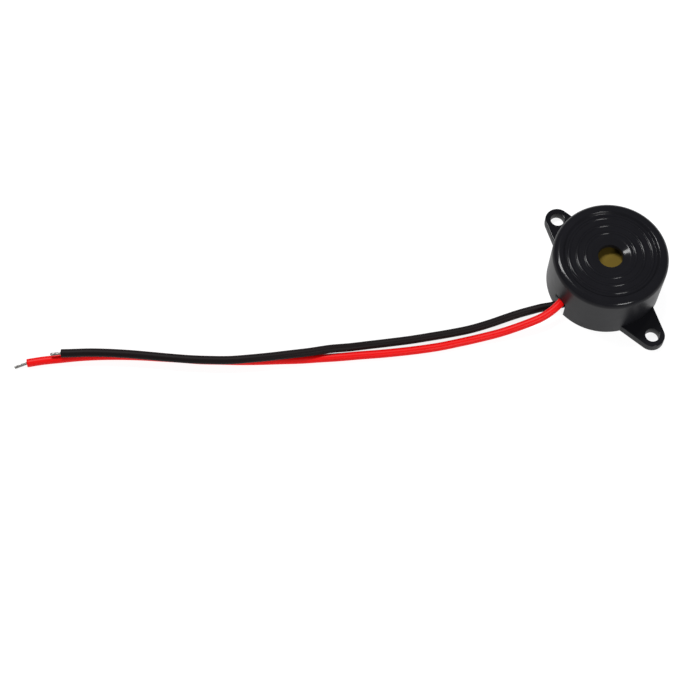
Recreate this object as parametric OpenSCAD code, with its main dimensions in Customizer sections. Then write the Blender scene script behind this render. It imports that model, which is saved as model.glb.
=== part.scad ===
// Self-drive piezo buzzer: a moulded cup with a ridged sounding face, two mounting ears and two leads.
// Millimetres. Z points up through the sounding face, the ears lie along X and the leads leave towards -Y.
// The origin is the centre of the foot. The open back is sealed with potting behind the drive board.

/* [Housing] */
// Outside diameter of the cup
body_d = 22; // [20:0.5:24]
// Height from the foot to the top of the rim
body_h = 11.4; // [11:0.1:14]
// Thickness of the cup wall
wall = 1.2; // [1:0.1:1.6]
// Rounding of the rim
rim_round = 1.3; // [1:0.1:1.6]

/* [Sounding face] */
// Radius of the innermost ridge
ripple_first_r = 4.75; // [4.5:0.05:5.2]
// Distance from one ridge to the next
ripple_pitch = 1.6; // [1.3:0.1:2]
// Height of the ridges above the face
ridge_h = 0.15; // [0.12:0.01:0.2]
// Width of each ridge's flat top
ridge_land = 0.1; // [0.06:0.02:0.3]
// Rounding of the upper edges of the ridges and of the rim's land
ridge_round = 0.3; // [0.2:0.02:0.36]
// Slope of the flanks in degrees
ridge_slope = 45; // [40:1:50]
// Width of the flat land inside the rim's rounding
rim_land = 0.45; // [0.3:0.05:0.6]
// How far the ridges' tops lie below the rim
dish_drop = 0.3; // [0.2:0.05:0.5]
// Diameter of the funnel's lip
funnel_d = 7.8; // [7.2:0.1:8]
// Rounding of the funnel's lip
lip_round = 1; // [0.6:0.1:1.2]
// Depth of the funnel below the face
funnel_depth = 0.5; // [0.4:0.05:0.7]
// Diameter of the sound port
port_d = 4.7; // [3.5:0.1:5.5]
// Thickness of the face at the sound port
face_t = 1.1; // [0.8:0.1:1.4]

/* [Mounting ears] */
// Distance between the two screw holes
hole_pitch = 30; // [29:0.5:34]
// Diameter of each screw hole
hole_d = 2.7; // [2.2:0.1:3.4]
// Radius of the ear's round end
ear_end_r = 2.4; // [2.2:0.1:3]
// Width of the ear where it meets the wall
ear_root_w = 7.7; // [6:0.1:9]
// Thickness of the ears
ear_t = 1.9; // [1.4:0.1:2.6]

/* [Steps inside the cup] */
// Width of the ledge that carries the brass plate
plate_ledge = 1.15; // [0.8:0.05:1.6]
// Height of the resonance chamber
chamber_h = 1.1; // [0.8:0.1:1.6]
// Width of the ledge that stops the board
board_ledge = 0.45; // [0.3:0.05:0.6]
// Height of the board's underside above the lead notch
board_over_notch = 0.2; // [0.15:0.05:0.5]

/* [Sounder disc] */
// Thickness of the brass plate
plate_t = 0.2; // [0.1:0.05:0.25]
// Bare border of brass around the ceramic
ceramic_border = 2.25; // [2:0.05:2.6]
// Thickness of the ceramic
ceramic_t = 0.2; // [0.1:0.05:0.25]
// Bare border of ceramic around the electrode
electrode_border = 0.4; // [0.2:0.05:0.8]
// Thickness of the silver film
electrode_t = 0.05; // [0.02:0.01:0.06]
// Width of the feedback tongue
tongue_w = 1.8; // [1.4:0.1:2.4]
// Distance of the tongue's round end from the centre
tongue_r = 3.6; // [3:0.1:4]
// Gap between the two electrodes
electrode_gap = 0.3; // [0.2:0.05:0.5]
// Width of the adhesive ring
adhesive_w = 0.75; // [0.5:0.05:0.9]
// Height of the adhesive ring
adhesive_h = 0.5; // [0.3:0.05:0.7]

/* [Drive board] */
// Thickness of the board
board_t = 0.8; // [0.6:0.1:1.2]
// Distance from the board's edge to the ring of resistors
resistor_inset = 4.65; // [4:0.05:5.2]
// Thickness of the tinned pads
pad_t = 0.05; // [0.03:0.01:0.08]
// Length of a chip resistor
chip_l = 2; // [1.6:0.1:2.2]
// Width of a chip resistor
chip_w = 1.25; // [0.8:0.05:1.3]
// Height of a chip resistor
chip_h = 0.5; // [0.4:0.05:0.6]
// Length of the transistor body
transistor_l = 2.9; // [2.7:0.1:3.1]
// Width of the transistor body
transistor_w = 1.3; // [1.2:0.05:1.5]
// Height of the transistor body
transistor_h = 0.9; // [0.8:0.05:1.1]
// Spacing of the transistor's legs
leg_pitch = 0.95; // [0.8:0.05:1.1]
// Width of a transistor leg
leg_w = 0.4; // [0.3:0.05:0.5]
// Thickness of a transistor leg
leg_t = 0.12; // [0.1:0.01:0.16]
// Distance that a transistor leg reaches out from the body
leg_reach = 0.55; // [0.4:0.05:0.7]
// Diameter of the thin jumper wires
jumper_d = 0.26; // [0.2:0.02:0.36]
// Height of a solder cone under the board
joint_h = 0.5; // [0.3:0.05:0.7]
// Height of a solder dot on the disc
dot_h = 0.35; // [0.25:0.05:0.4]

/* [Leads] */
// Outside diameter of the insulation
lead_d = 1.6; // [1.2:0.1:1.6]
// Diameter of the tinned conductor
core_d = 0.56; // [0.4:0.04:0.7]
// Bare run of a conductor before it turns up to the board
root_run = 1.2; // [1:0.1:1.6]
// Bend radius of a conductor where it turns up
root_bend = 0.6; // [0.4:0.05:0.8]
// Width of the lead notch in the foot of the wall
notch_w = 3; // [2.8:0.1:4]
// Height of the lead notch
notch_h = 4.3; // [4.2:0.1:4.5]
// Depth of the potting's face inside the foot
potting_recess = 0.6; // [0.3:0.1:0.7]

/* [Clearances] */
// Bond line between glued, potted or soldered faces
bond_gap = 0.02; // [0.01:0.01:0.05]
// Radial clearance of the board in the cup
board_clear = 0.15; // [0.1:0.05:0.15]
// Radial clearance of the brass plate in its bore
plate_clear = 0.1; // [0.05:0.05:0.2]
// Radial clearance of a wire in its board hole
hole_clear = 0.06; // [0.04:0.02:0.1]
// Radial clearance of a lead in its potting bore
lead_clear = 0.1; // [0.08:0.02:0.16]

/* [Hidden] */
$fn = 96;

// How far a cutter runs past the face that it opens
over = 1;

// Radii of the cup, from outside in
body_r = body_d / 2;
crown_r = body_r - rim_round;
cup_r = body_r - wall;
plate_bore_r = cup_r - board_ledge;
plate_r = plate_bore_r - plate_clear;
ceramic_r = plate_r - ceramic_border;
chamber_r = plate_bore_r - plate_ledge;
funnel_r = funnel_d / 2;
port_r = port_d / 2;

// Levels of the face and the sounder disc, from the rim down
ridge_top_z = body_h - dish_drop;
face_z = ridge_top_z - ridge_h;
port_edge_z = face_z - funnel_depth;
chamber_top_z = port_edge_z - face_t;
plate_top_z = chamber_top_z - chamber_h;
plate_bottom_z = plate_top_z - plate_t;
ceramic_bottom_z = plate_bottom_z - ceramic_t;
electrode_bottom_z = ceramic_bottom_z - electrode_t;

// Levels of the board, from the foot up
board_bottom_z = notch_h + board_over_notch;
board_top_z = board_bottom_z + board_t;

// Ridges, as many as fit inside the rim, and the run and fall of a land's rounded edge
ridge_count = floor((crown_r - ripple_pitch / 2 - ripple_first_r) / ripple_pitch) + 1;
ridge_radii = [for (i = [0:ridge_count - 1]) ripple_first_r + i * ripple_pitch];
edge_run = ridge_round * sin(ridge_slope);
edge_fall = ridge_round * (1 - cos(ridge_slope));

// The funnel's cone runs from the port to a tangent on the rounded lip
lip_centre = [funnel_r, face_z - lip_round];
cone_way = [port_r, port_edge_z] - lip_centre;
lip_a = atan2(cone_way.y, cone_way.x) - acos(lip_round / norm(cone_way));
lip_tangent = lip_centre + lip_round * [cos(lip_a), sin(lip_a)];

// Ear sides run from the wall to a tangent on the round end
ear_x = hole_pitch / 2;
ear_root = [sqrt(body_r * body_r - ear_root_w * ear_root_w / 4), ear_root_w / 2];
ear_side = ear_root - [ear_x, 0];
ear_side_a = atan2(ear_side.y, ear_side.x) - acos(ear_end_r / norm(ear_side));
ear_tangent = [ear_x, 0] + ear_end_r * [cos(ear_side_a), sin(ear_side_a)];

chip = [chip_l, chip_w, chip_h];
transistor_body = [transistor_l, transistor_w, transistor_h];

// Places on the board, from its centre
board_r = cup_r - board_clear;
function on_ring(angle) = (board_r - resistor_inset) * [cos(angle), sin(angle)];
plate_dot_r = (ceramic_r + plate_bore_r - adhesive_w) / 2;
plate_jumper_at = [0, plate_dot_r];
drive_jumper_at = on_ring(137);
feedback_jumper_at = [tongue_r + tongue_w / 2, 0];
jumper_places = [plate_jumper_at, drive_jumper_at, feedback_jumper_at];
transistor_at = [0, 0.6];
base_resistor_at = on_ring(205);
feedback_resistor_at = on_ring(-35);
load_resistor_at = on_ring(45);
resistor_places = [base_resistor_at, feedback_resistor_at, load_resistor_at];
pad_size = [0.8, 1.4];
foot_pad = [0.6, 0.8];

// Solder cones: wide end on the copper, narrow end round the wire
core_joint_r = [0.42, 0.75];
jumper_joint_r = [0.22, 0.42];
dot_r = [0.24, 0.5];

// Lead routes from the inner end of the insulation to its outer end
lead_sides = 8;
red_route = [
    [-0.5, -7, 3.3], [-0.1, -9, 3.3], [0.3, -11, 3.4], [0.6, -12.5, 3.3], [0.7, -14, 3.1],
    [0.6, -15.5, 2.8], [0.3, -17, 2.5], [-0.5, -20, 2], [-1.7, -23.6, 1.3], [-3.1, -27.3, 0.9],
    [-4.5, -31, 0.8], [-5.9, -34.6, 0.8], [-7.5, -38.1, 0.8], [-9.2, -41.5, 0.8], [-11, -44.9, 0.8],
    [-12.9, -48.3, 0.8], [-14.7, -51.6, 0.8], [-16.6, -54.9, 0.8], [-18.5, -58.2, 0.8],
    [-20.5, -61.4, 0.8], [-22.5, -64.6, 0.8], [-24.6, -67.8, 0.8], [-26.8, -70.9, 0.8], [-29, -74, 0.8],
    [-31.4, -77, 0.8], [-33.7, -80, 0.8], [-36, -83, 0.8], [-38.2, -86.1, 0.8], [-40.3, -89.3, 0.8],
    [-42.2, -92.5, 0.8], [-44, -95.9, 0.8], [-45.5, -98.8, 0.8], [-46.7, -101.5, 0.8]
];
black_route = [
    [1.4, -7, 1.7], [0.6, -9, 1.7], [-0.2, -11, 1.7], [-0.8, -12.5, 1.6], [-1.5, -14, 1.5],
    [-2.3, -16, 1.2], [-3, -18, 1], [-3.6, -20, 0.8], [-4.5, -23.8, 0.8], [-5.6, -27.6, 0.8],
    [-7, -31.2, 0.8], [-8.6, -34.9, 0.8], [-10.2, -38.5, 0.8], [-11.9, -42, 0.8], [-13.6, -45.5, 0.9],
    [-15.1, -49, 1.4], [-16.7, -52.5, 2], [-18.2, -56.1, 2.3], [-19.8, -59.5, 2.5], [-21.5, -62.9, 2.5],
    [-23.3, -66.3, 2.5], [-25.2, -69.6, 2.4], [-27.3, -72.7, 2.4], [-29.5, -75.7, 2.4],
    [-31.9, -78.7, 2.4], [-34.3, -81.6, 2.4], [-36.7, -84.6, 2.5], [-39, -87.6, 2.5], [-41.2, -90.7, 2.5],
    [-43.2, -93.9, 2.5], [-44.1, -95.3, 2.5]
];
// Ends of the bare tinned tips
red_tip_end = [-47.4, -103.9, 0.4];
black_tip_end = [-45.1, -97.1, 2.4];
tip_gap = 0.06;

function unit(v) = v / norm(v);
function last(list) = list[len(list) - 1];
function heading(route, i) = unit(route[min(i + 1, len(route) - 1)] - route[max(i - 1, 0)]);
// Corners of one ring of a lead, square to its heading
function ring(centre, along, r) =
    let (side = unit(cross(along, [0, 0, 1])), up = cross(side, along))
    [for (k = [0:lead_sides - 1]) let (a = 360 * k / lead_sides) centre + r * (cos(a) * side + sin(a) * up)];

// A closed tube along a route, one ring on each of its points
module tube(route, r) {
    n = lead_sides;
    ends = len(route) - 1;
    corners = [for (i = [0:ends]) each ring(route[i], heading(route, i), r)];
    sides = [
        for (i = [0:ends - 1], k = [0:n - 1])
        let (a = i * n + k, b = i * n + (k + 1) % n)
        each [[a, b, b + n], [a, b + n, a + n]]
    ];
    inner_end = [for (k = [n - 1:-1:0]) k];
    outer_end = [for (k = [0:n - 1]) ends * n + k];
    polyhedron(corners, concat(sides, [inner_end, outer_end]));
}

// A rod between two points
module rod(from, to, r) {
    v = to - from;
    translate(from)
        rotate([0, acos(v.z / norm(v)), atan2(v.y, v.x)])
            cylinder(h = norm(v), r = r);
}

// Outline of the cup and its face, turned about Z
module cup_section() {
    difference() {
        union() {
            square([body_r, body_h - rim_round]);
            square([crown_r, face_z]);
            rim_section();
            for (r = ridge_radii) translate([r, ridge_top_z]) ridge_section();
        }
        funnel_section();
    }
}

// Rounded rim, with a flat land and a flank on its inner side
module rim_section() {
    intersection() {
        translate([crown_r, body_h - rim_round]) circle(rim_round);
        translate([crown_r, 0]) square([rim_round, body_h]);
    }
    translate([crown_r - rim_land, 0]) square([rim_land, body_h]);
    translate([crown_r - rim_land, body_h]) land_edge(-1, dish_drop + ridge_h);
}

// One ridge: a flat top between two rounded edges
module ridge_section() {
    translate([-ridge_land / 2, -ridge_h]) square([ridge_land, ridge_h]);
    for (side = [-1, 1]) translate([side * ridge_land / 2, 0]) land_edge(side, ridge_h);
}

// Edge of a flat land that ends at the origin: a rounding, then a straight flank down to the face
module land_edge(side, drop) {
    flank_run = (drop - edge_fall) / tan(ridge_slope);
    polygon([
        [0, 0], [side * edge_run, -edge_fall], [side * (edge_run + flank_run), -drop], [0, -drop]
    ]);
    translate([0, -ridge_round]) circle(ridge_round);
}

// Funnel above the sound port: a cone that ends in the rounded lip
module funnel_section() {
    difference() {
        polygon([
            [0, port_edge_z], [port_r, port_edge_z], lip_tangent, [funnel_r, face_z], [funnel_r, body_h], [0, body_h]
        ]);
        translate(lip_centre) circle(lip_round);
    }
}

// Stepped bore of the cup, from the open back to the sound port
module bore_section() {
    steps = [[cup_r, board_top_z], [plate_bore_r, plate_top_z], [chamber_r, chamber_top_z], [port_r, body_h]];
    for (s = steps) translate([0, -over]) square([s[0], s[1] + over]);
}

module ear_outline() {
    polygon([
        [0, -ear_root.y], [ear_root.x, -ear_root.y], [ear_tangent.x, -ear_tangent.y],
        [ear_tangent.x, ear_tangent.y], [ear_root.x, ear_root.y], [0, ear_root.y]
    ]);
    translate([ear_x, 0]) circle(ear_end_r);
}

module housing() {
    color("#1c1c1f")
    difference() {
        union() {
            rotate_extrude() cup_section();
            for (side = [0, 180]) rotate(side) linear_extrude(ear_t) ear_outline();
        }
        rotate_extrude() bore_section();
        for (side = [-1, 1]) translate([side * ear_x, 0, -over]) cylinder(h = ear_t + 2 * over, d = hole_d);
        translate([-notch_w / 2, -body_r - over, -over]) cube([notch_w, body_r + over, notch_h + over]);
    }
}

module diaphragm_plate() {
    color("#b08d3c")
    translate([0, 0, plate_bottom_z]) cylinder(h = plate_t, r = plate_r);
}

module piezo_ceramic() {
    color("#d9d2bd")
    translate([0, 0, ceramic_bottom_z]) cylinder(h = ceramic_t, r = ceramic_r);
}

// Outline of the feedback tongue, grown by a margin
module tongue(grow) {
    translate([tongue_r, 0]) circle(tongue_w / 2 + grow);
    translate([tongue_r, -tongue_w / 2 - grow]) square([ceramic_r, tongue_w + 2 * grow]);
}

module main_electrode() {
    color("#c9cacc")
    translate([0, 0, electrode_bottom_z]) linear_extrude(electrode_t)
    difference() {
        circle(ceramic_r - electrode_border);
        tongue(electrode_gap);
    }
}

module feedback_electrode() {
    color("#c9cacc")
    translate([0, 0, electrode_bottom_z]) linear_extrude(electrode_t)
    intersection() {
        circle(ceramic_r - electrode_border);
        tongue(0);
    }
}

module disc_adhesive() {
    color("#e4e2da")
    translate([0, 0, plate_bottom_z - adhesive_h])
    difference() {
        cylinder(h = adhesive_h, r = plate_bore_r - bond_gap);
        translate([0, 0, -over]) cylinder(h = adhesive_h + 2 * over, r = plate_bore_r - adhesive_w);
    }
}

// Where each conductor turns up, below its board hole
function root_at(route) = let (back = unit(route[0] - route[1])) route[0] + root_run * back;

module circuit_board() {
    color("#2f6b3c")
    translate([0, 0, board_bottom_z])
    difference() {
        cylinder(h = board_t, r = board_r);
        for (route = [red_route, black_route]) wire_hole(root_at(route), core_d);
        for (at = jumper_places) wire_hole(at, jumper_d);
    }
}

module wire_hole(at, d) {
    translate([at.x, at.y, -over]) cylinder(h = board_t + 2 * over, r = d / 2 + hole_clear);
}

// Centres of a transistor's feet: two on one side, one on the other
leg_y = transistor_body.y / 2 + leg_reach / 2;
feet = [[-leg_pitch, -leg_y], [leg_pitch, -leg_y], [0, leg_y]];
transistor_room = [
    max(transistor_body.x, 2 * leg_pitch + foot_pad.x),
    2 * leg_y + max(foot_pad.y, leg_reach),
    leg_t + transistor_body.z
];

// Stands its children on the board's potted side, at a place and a height
module under_board(at, h) {
    translate([at.x, at.y, board_bottom_z]) mirror([0, 0, 1]) translate([0, 0, h]) children();
}

module board_pads() {
    color("#c4c6c8") {
        for (at = resistor_places, side = [-1, 1])
            under_board(at + [side * chip.x / 2, 0], pad_t / 2)
                cube([pad_size.x, pad_size.y, pad_t], center = true);
        for (f = feet)
            under_board(transistor_at + f, pad_t / 2)
                cube([foot_pad.x, foot_pad.y, pad_t], center = true);
    }
}

module transistor() {
    lift = leg_t;
    color("#202022")
    under_board(transistor_at, pad_t) {
        translate([0, 0, lift + transistor_body.z / 2]) cube(transistor_body, center = true);
        for (f = feet) {
            inward = -sign(f.y);
            translate([f.x, f.y, leg_t / 2]) cube([leg_w, leg_reach, leg_t], center = true);
            translate([f.x, f.y + inward * leg_reach / 2, lift + transistor_body.z / 4])
                cube([leg_w, 2 * leg_t, 2 * lift + transistor_body.z / 2], center = true);
        }
    }
}

// A chip resistor: a flat body between two wrapped end caps
module chip_resistor(at) {
    cap_l = 0.4;
    wrap = 0.03;
    color("#3a3a3d")
    under_board(at, pad_t + chip.z / 2) {
        cube([chip.x - 2 * wrap, chip.y - 2 * wrap, chip.z - 2 * wrap], center = true);
        for (side = [-1, 1])
            translate([side * (chip.x - cap_l) / 2, 0, 0]) cube([cap_l, chip.y, chip.z], center = true);
    }
}

module base_resistor() { chip_resistor(base_resistor_at); }
module feedback_resistor() { chip_resistor(feedback_resistor_at); }
module load_resistor() { chip_resistor(load_resistor_at); }

// A jumper from its solder cone under the board up to its dot on the disc
module jumper(at, face_z) {
    foot_z = board_bottom_z - joint_h;
    color("#c08a5a")
    translate([at.x, at.y, foot_z]) cylinder(h = face_z - dot_h - foot_z, d = jumper_d);
}

module plate_jumper() { jumper(plate_jumper_at, plate_bottom_z); }
module drive_jumper() { jumper(drive_jumper_at, electrode_bottom_z); }
module feedback_jumper() { jumper(feedback_jumper_at, electrode_bottom_z); }

module disc_solder_dots() {
    color("#b9bcc0") {
        solder_dot(plate_jumper_at, plate_bottom_z);
        solder_dot(drive_jumper_at, electrode_bottom_z);
        solder_dot(feedback_jumper_at, electrode_bottom_z);
    }
}

module solder_dot(at, face_z) {
    translate([at.x, at.y, face_z - dot_h]) cylinder(h = dot_h, r1 = dot_r[0], r2 = dot_r[1]);
}

module board_solder_joints() {
    color("#b9bcc0") {
        for (route = [red_route, black_route]) solder_joint(root_at(route), core_joint_r, core_d);
        for (at = jumper_places) solder_joint(at, jumper_joint_r, jumper_d);
    }
}

// A solder cone under the board, open where its wire runs through
module solder_joint(at, r, wire_d) {
    translate([at.x, at.y, board_bottom_z - joint_h])
    difference() {
        cylinder(h = joint_h, r1 = r[0], r2 = r[1]);
        translate([0, 0, -over]) cylinder(h = joint_h + 2 * over, r = wire_d / 2 + bond_gap);
    }
}

// Bare inner end of a conductor: a short run, a bend and a riser to the top of the board
module root_wire(route, r) {
    start = route[0];
    back = start - route[1];
    translate(start) rotate(atan2(back.y, back.x)) {
        rotate([0, 90, 0]) cylinder(h = root_run - root_bend, r = r);
        translate([root_run - root_bend, 0, root_bend])
            rotate([90, 0, 0]) rotate(-90) rotate_extrude(angle = 90) translate([root_bend, 0]) circle(r);
        translate([root_run, 0, root_bend]) cylinder(h = board_top_z - start.z - root_bend, r = r);
    }
}

module red_conductor_root() { color("#b4b7ba") root_wire(red_route, core_d / 2); }
module black_conductor_root() { color("#b4b7ba") root_wire(black_route, core_d / 2); }

module potting() {
    color("#26262a")
    difference() {
        translate([0, 0, potting_recess]) cylinder(h = board_bottom_z - potting_recess, r = cup_r - bond_gap);
        for (route = [red_route, black_route]) {
            root_wire(route, core_d / 2 + bond_gap);
            rod(route[0], route[0] + body_d * unit(route[1] - route[0]), lead_d / 2 + lead_clear);
            joint_pocket(root_at(route), core_joint_r);
        }
        for (at = jumper_places) joint_pocket(at, jumper_joint_r);
        for (at = resistor_places) part_pocket(at, [chip.x + pad_size.x, max(chip.y, pad_size.y), chip.z]);
        part_pocket(transistor_at, transistor_room);
    }
}

// Room in the potting for one component on its pads
module part_pocket(at, size) {
    depth = pad_t + size.z + bond_gap;
    under_board(at, (depth - over) / 2)
        cube([size.x + 2 * bond_gap, size.y + 2 * bond_gap, depth + over], center = true);
}

// Room in the potting for one solder cone
module joint_pocket(at, r) {
    depth = joint_h + bond_gap;
    translate([at.x, at.y, board_bottom_z - depth]) cylinder(h = depth + over, r = r[1] + bond_gap);
}

module red_lead() { color("#e0181c") tube(red_route, lead_d / 2); }
module black_lead() { color("#232226") tube(black_route, lead_d / 2); }

// Bare tinned end of a lead, just clear of the insulation's end face
module tip(route, end) {
    start = last(route);
    color("#b4b7ba") rod(start + tip_gap * unit(end - start), end, core_d / 2);
}

module red_conductor_tip() { tip(red_route, red_tip_end); }
module black_conductor_tip() { tip(black_route, black_tip_end); }

housing();
diaphragm_plate();
piezo_ceramic();
main_electrode();
feedback_electrode();
disc_adhesive();
circuit_board();
board_pads();
transistor();
base_resistor();
feedback_resistor();
load_resistor();
plate_jumper();
drive_jumper();
feedback_jumper();
disc_solder_dots();
board_solder_joints();
red_conductor_root();
black_conductor_root();
potting();
red_lead();
black_lead();
red_conductor_tip();
black_conductor_tip();
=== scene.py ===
"""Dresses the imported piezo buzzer: gloss-moulded cup, flying leads, brass sounder and potted drive board."""
import math
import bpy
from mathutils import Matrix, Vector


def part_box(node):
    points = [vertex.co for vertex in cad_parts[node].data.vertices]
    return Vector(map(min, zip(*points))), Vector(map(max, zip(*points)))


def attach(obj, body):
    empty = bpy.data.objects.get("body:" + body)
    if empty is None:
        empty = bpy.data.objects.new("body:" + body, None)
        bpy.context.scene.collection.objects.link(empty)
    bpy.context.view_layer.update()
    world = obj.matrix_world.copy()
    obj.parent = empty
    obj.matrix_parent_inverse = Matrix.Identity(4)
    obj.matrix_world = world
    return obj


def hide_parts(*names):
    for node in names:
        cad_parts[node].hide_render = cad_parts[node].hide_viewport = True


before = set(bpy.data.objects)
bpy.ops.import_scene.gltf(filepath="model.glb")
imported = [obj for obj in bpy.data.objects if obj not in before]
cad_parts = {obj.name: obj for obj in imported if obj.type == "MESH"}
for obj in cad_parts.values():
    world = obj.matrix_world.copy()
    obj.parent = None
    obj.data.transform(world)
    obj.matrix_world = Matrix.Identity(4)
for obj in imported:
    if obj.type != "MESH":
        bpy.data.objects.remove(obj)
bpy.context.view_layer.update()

from types import SimpleNamespace

import bmesh
import bpy
from bpy.props import FloatProperty, FloatVectorProperty, IntProperty, PointerProperty
from mathutils import Matrix, Vector

bl_info = {
    "name": "Piezo buzzer",
    "version": (1, 0, 0),
    "blender": (4, 5, 0),
    "location": "3D View > Sidebar > Buzzer",
    "description": "Builds a piezo buzzer with flying leads around its packed CAD model",
    "category": "Object",
}

MM = 0.001
BODY = "root"

HOUSING_LOW, HOUSING_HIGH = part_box("housing")
POTTING_LOW, POTTING_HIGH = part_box("potting")
PLATE_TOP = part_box("diaphragm_plate")[1].z
BOARD_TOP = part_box("circuit_board")[1].z

# Camera fitted to the photograph, in millimetres: lens, sensor, and place and aim in the part's frame
LENS = 90.684
SENSOR = 36
CAMERA_AT = (94.25, -124.83, 298.06)
CAMERA_AIM = (-17.96, -49.42, 0)

# Lead routes in millimetres, from the insulation's inner end to its outer end
RED_ROUTE = [
    (-0.5, -7, 3.3), (-0.1, -9, 3.3), (0.3, -11, 3.4), (0.6, -12.5, 3.3), (0.7, -14, 3.1),
    (0.6, -15.5, 2.8), (0.3, -17, 2.5), (-0.5, -20, 2), (-1.7, -23.6, 1.3), (-3.1, -27.3, 0.9),
    (-4.5, -31, 0.8), (-5.9, -34.6, 0.8), (-7.5, -38.1, 0.8), (-9.2, -41.5, 0.8), (-11, -44.9, 0.8),
    (-12.9, -48.3, 0.8), (-14.7, -51.6, 0.8), (-16.6, -54.9, 0.8), (-18.5, -58.2, 0.8),
    (-20.5, -61.4, 0.8), (-22.5, -64.6, 0.8), (-24.6, -67.8, 0.8), (-26.8, -70.9, 0.8), (-29, -74, 0.8),
    (-31.4, -77, 0.8), (-33.7, -80, 0.8), (-36, -83, 0.8), (-38.2, -86.1, 0.8), (-40.3, -89.3, 0.8),
    (-42.2, -92.5, 0.8), (-44, -95.9, 0.8), (-45.5, -98.8, 0.8), (-46.7, -101.5, 0.8),
]
BLACK_ROUTE = [
    (1.4, -7, 1.7), (0.6, -9, 1.7), (-0.2, -11, 1.7), (-0.8, -12.5, 1.6), (-1.5, -14, 1.5),
    (-2.3, -16, 1.2), (-3, -18, 1), (-3.6, -20, 0.8), (-4.5, -23.8, 0.8), (-5.6, -27.6, 0.8),
    (-7, -31.2, 0.8), (-8.6, -34.9, 0.8), (-10.2, -38.5, 0.8), (-11.9, -42, 0.8), (-13.6, -45.5, 0.9),
    (-15.1, -49, 1.4), (-16.7, -52.5, 2), (-18.2, -56.1, 2.3), (-19.8, -59.5, 2.5), (-21.5, -62.9, 2.5),
    (-23.3, -66.3, 2.5), (-25.2, -69.6, 2.4), (-27.3, -72.7, 2.4), (-29.5, -75.7, 2.4),
    (-31.9, -78.7, 2.4), (-34.3, -81.6, 2.4), (-36.7, -84.6, 2.5), (-39, -87.6, 2.5), (-41.2, -90.7, 2.5),
    (-43.2, -93.9, 2.5), (-44.1, -95.3, 2.5),
]
RED_TIP_END = (-47.4, -103.9, 0.4)
BLACK_TIP_END = (-45.1, -97.1, 2.4)
# Each lead leaves the wall at its third point
RED_EXIT = RED_ROUTE[2]
BLACK_EXIT = BLACK_ROUTE[2]


def linear(code):
    """Turns an sRGB hex colour into linear red, green and blue."""
    parts = [int(code[i:i + 2], 16) / 255 for i in (1, 3, 5)]
    return tuple(c / 12.92 if c <= 0.04045 else ((c + 0.055) / 1.055) ** 2.4 for c in parts)


def length(name, description, millimetres):
    """A size that a user may change, kept in metres."""
    return FloatProperty(name=name, description=description, default=millimetres * MM, unit="LENGTH", min=0)


def colour(name, description, code):
    """A colour that a user may change, given as an sRGB hex value."""
    return FloatVectorProperty(
        name=name, description=description, default=linear(code), subtype="COLOR", size=3, min=0, max=1
    )


class BuzzerHousingSizes(bpy.types.PropertyGroup):
    """Sizes of the moulded housing."""

    diameter: length("Diameter", "Outside diameter of the cup", (HOUSING_HIGH.y - HOUSING_LOW.y) / MM)
    height: length("Height", "Height from the foot to the rim", HOUSING_HIGH.z / MM)
    wall: length("Wall", "Thickness of the cup wall", 1.2)
    rim_round: length("Rim rounding", "Outer rounding of the rim", 1.3)
    rim_land: length("Rim land", "Width of the flat land inside the rim's rounding", 0.45)
    dish_drop: length("Dish drop", "How far the ridges' tops lie below the rim", 0.3)
    first_ridge: length("First ridge", "Radius of the innermost ridge", 4.75)
    pitch: length("Ridge pitch", "Distance from one ridge to the next", 1.6)
    ridge_height: length("Ridge height", "Height of the ridges above the face", 0.15)
    ridge_land: length("Ridge land", "Width of each ridge's flat top", 0.1)
    ridge_round: length("Ridge rounding", "Rounding of the ridges' upper edges", 0.3)
    ridge_slope: FloatProperty(
        name="Ridge slope", description="Slope of the ridges' flanks",
        default=math.radians(45), unit="ROTATION",
    )
    funnel: length("Funnel diameter", "Diameter of the funnel's lip", 7.8)
    lip_round: length("Lip rounding", "Rounding of the funnel's lip", 1)
    funnel_depth: length("Funnel depth", "Depth of the funnel below the face", 0.5)
    port: length("Sound port", "Diameter of the sound port", 4.7)
    face: length("Face thickness", "Thickness of the face at the port", 1.1)
    chamber: length("Chamber diameter", "Diameter of the resonance chamber", 16.4)
    plate_bore: length("Plate bore", "Diameter of the bore round the brass plate", 18.7)
    hole_pitch: length("Hole pitch", "Distance between the two screw holes", 30)
    hole: length("Screw hole", "Diameter of each screw hole", 2.7)
    ear_end: length("Ear end radius", "Radius of the ear's round end", 2.4)
    ear_root: length("Ear root width", "Width of the ear at the wall", 7.7)
    ear: length("Ear thickness", "Thickness of the ears", 1.9)
    edge: length("Edge rounding", "Rounding of the ears' edges", 0.16)
    notch: length("Notch width", "Width of the lead notch", 3)
    notch_height: length("Notch height", "Height of the lead notch", 4.3)


class BuzzerLeadSizes(bpy.types.PropertyGroup):
    """Sizes of the two leads."""

    insulation: length("Insulation", "Outside diameter of the insulation", 1.6)
    conductor: length("Conductor", "Outside diameter of the twisted conductor", 0.56)
    twist: length("Twist", "Length of one turn of the strands", 5.5)
    strands: IntProperty(name="Outer strands", description="Strands round the middle one", default=6, min=3)


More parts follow.
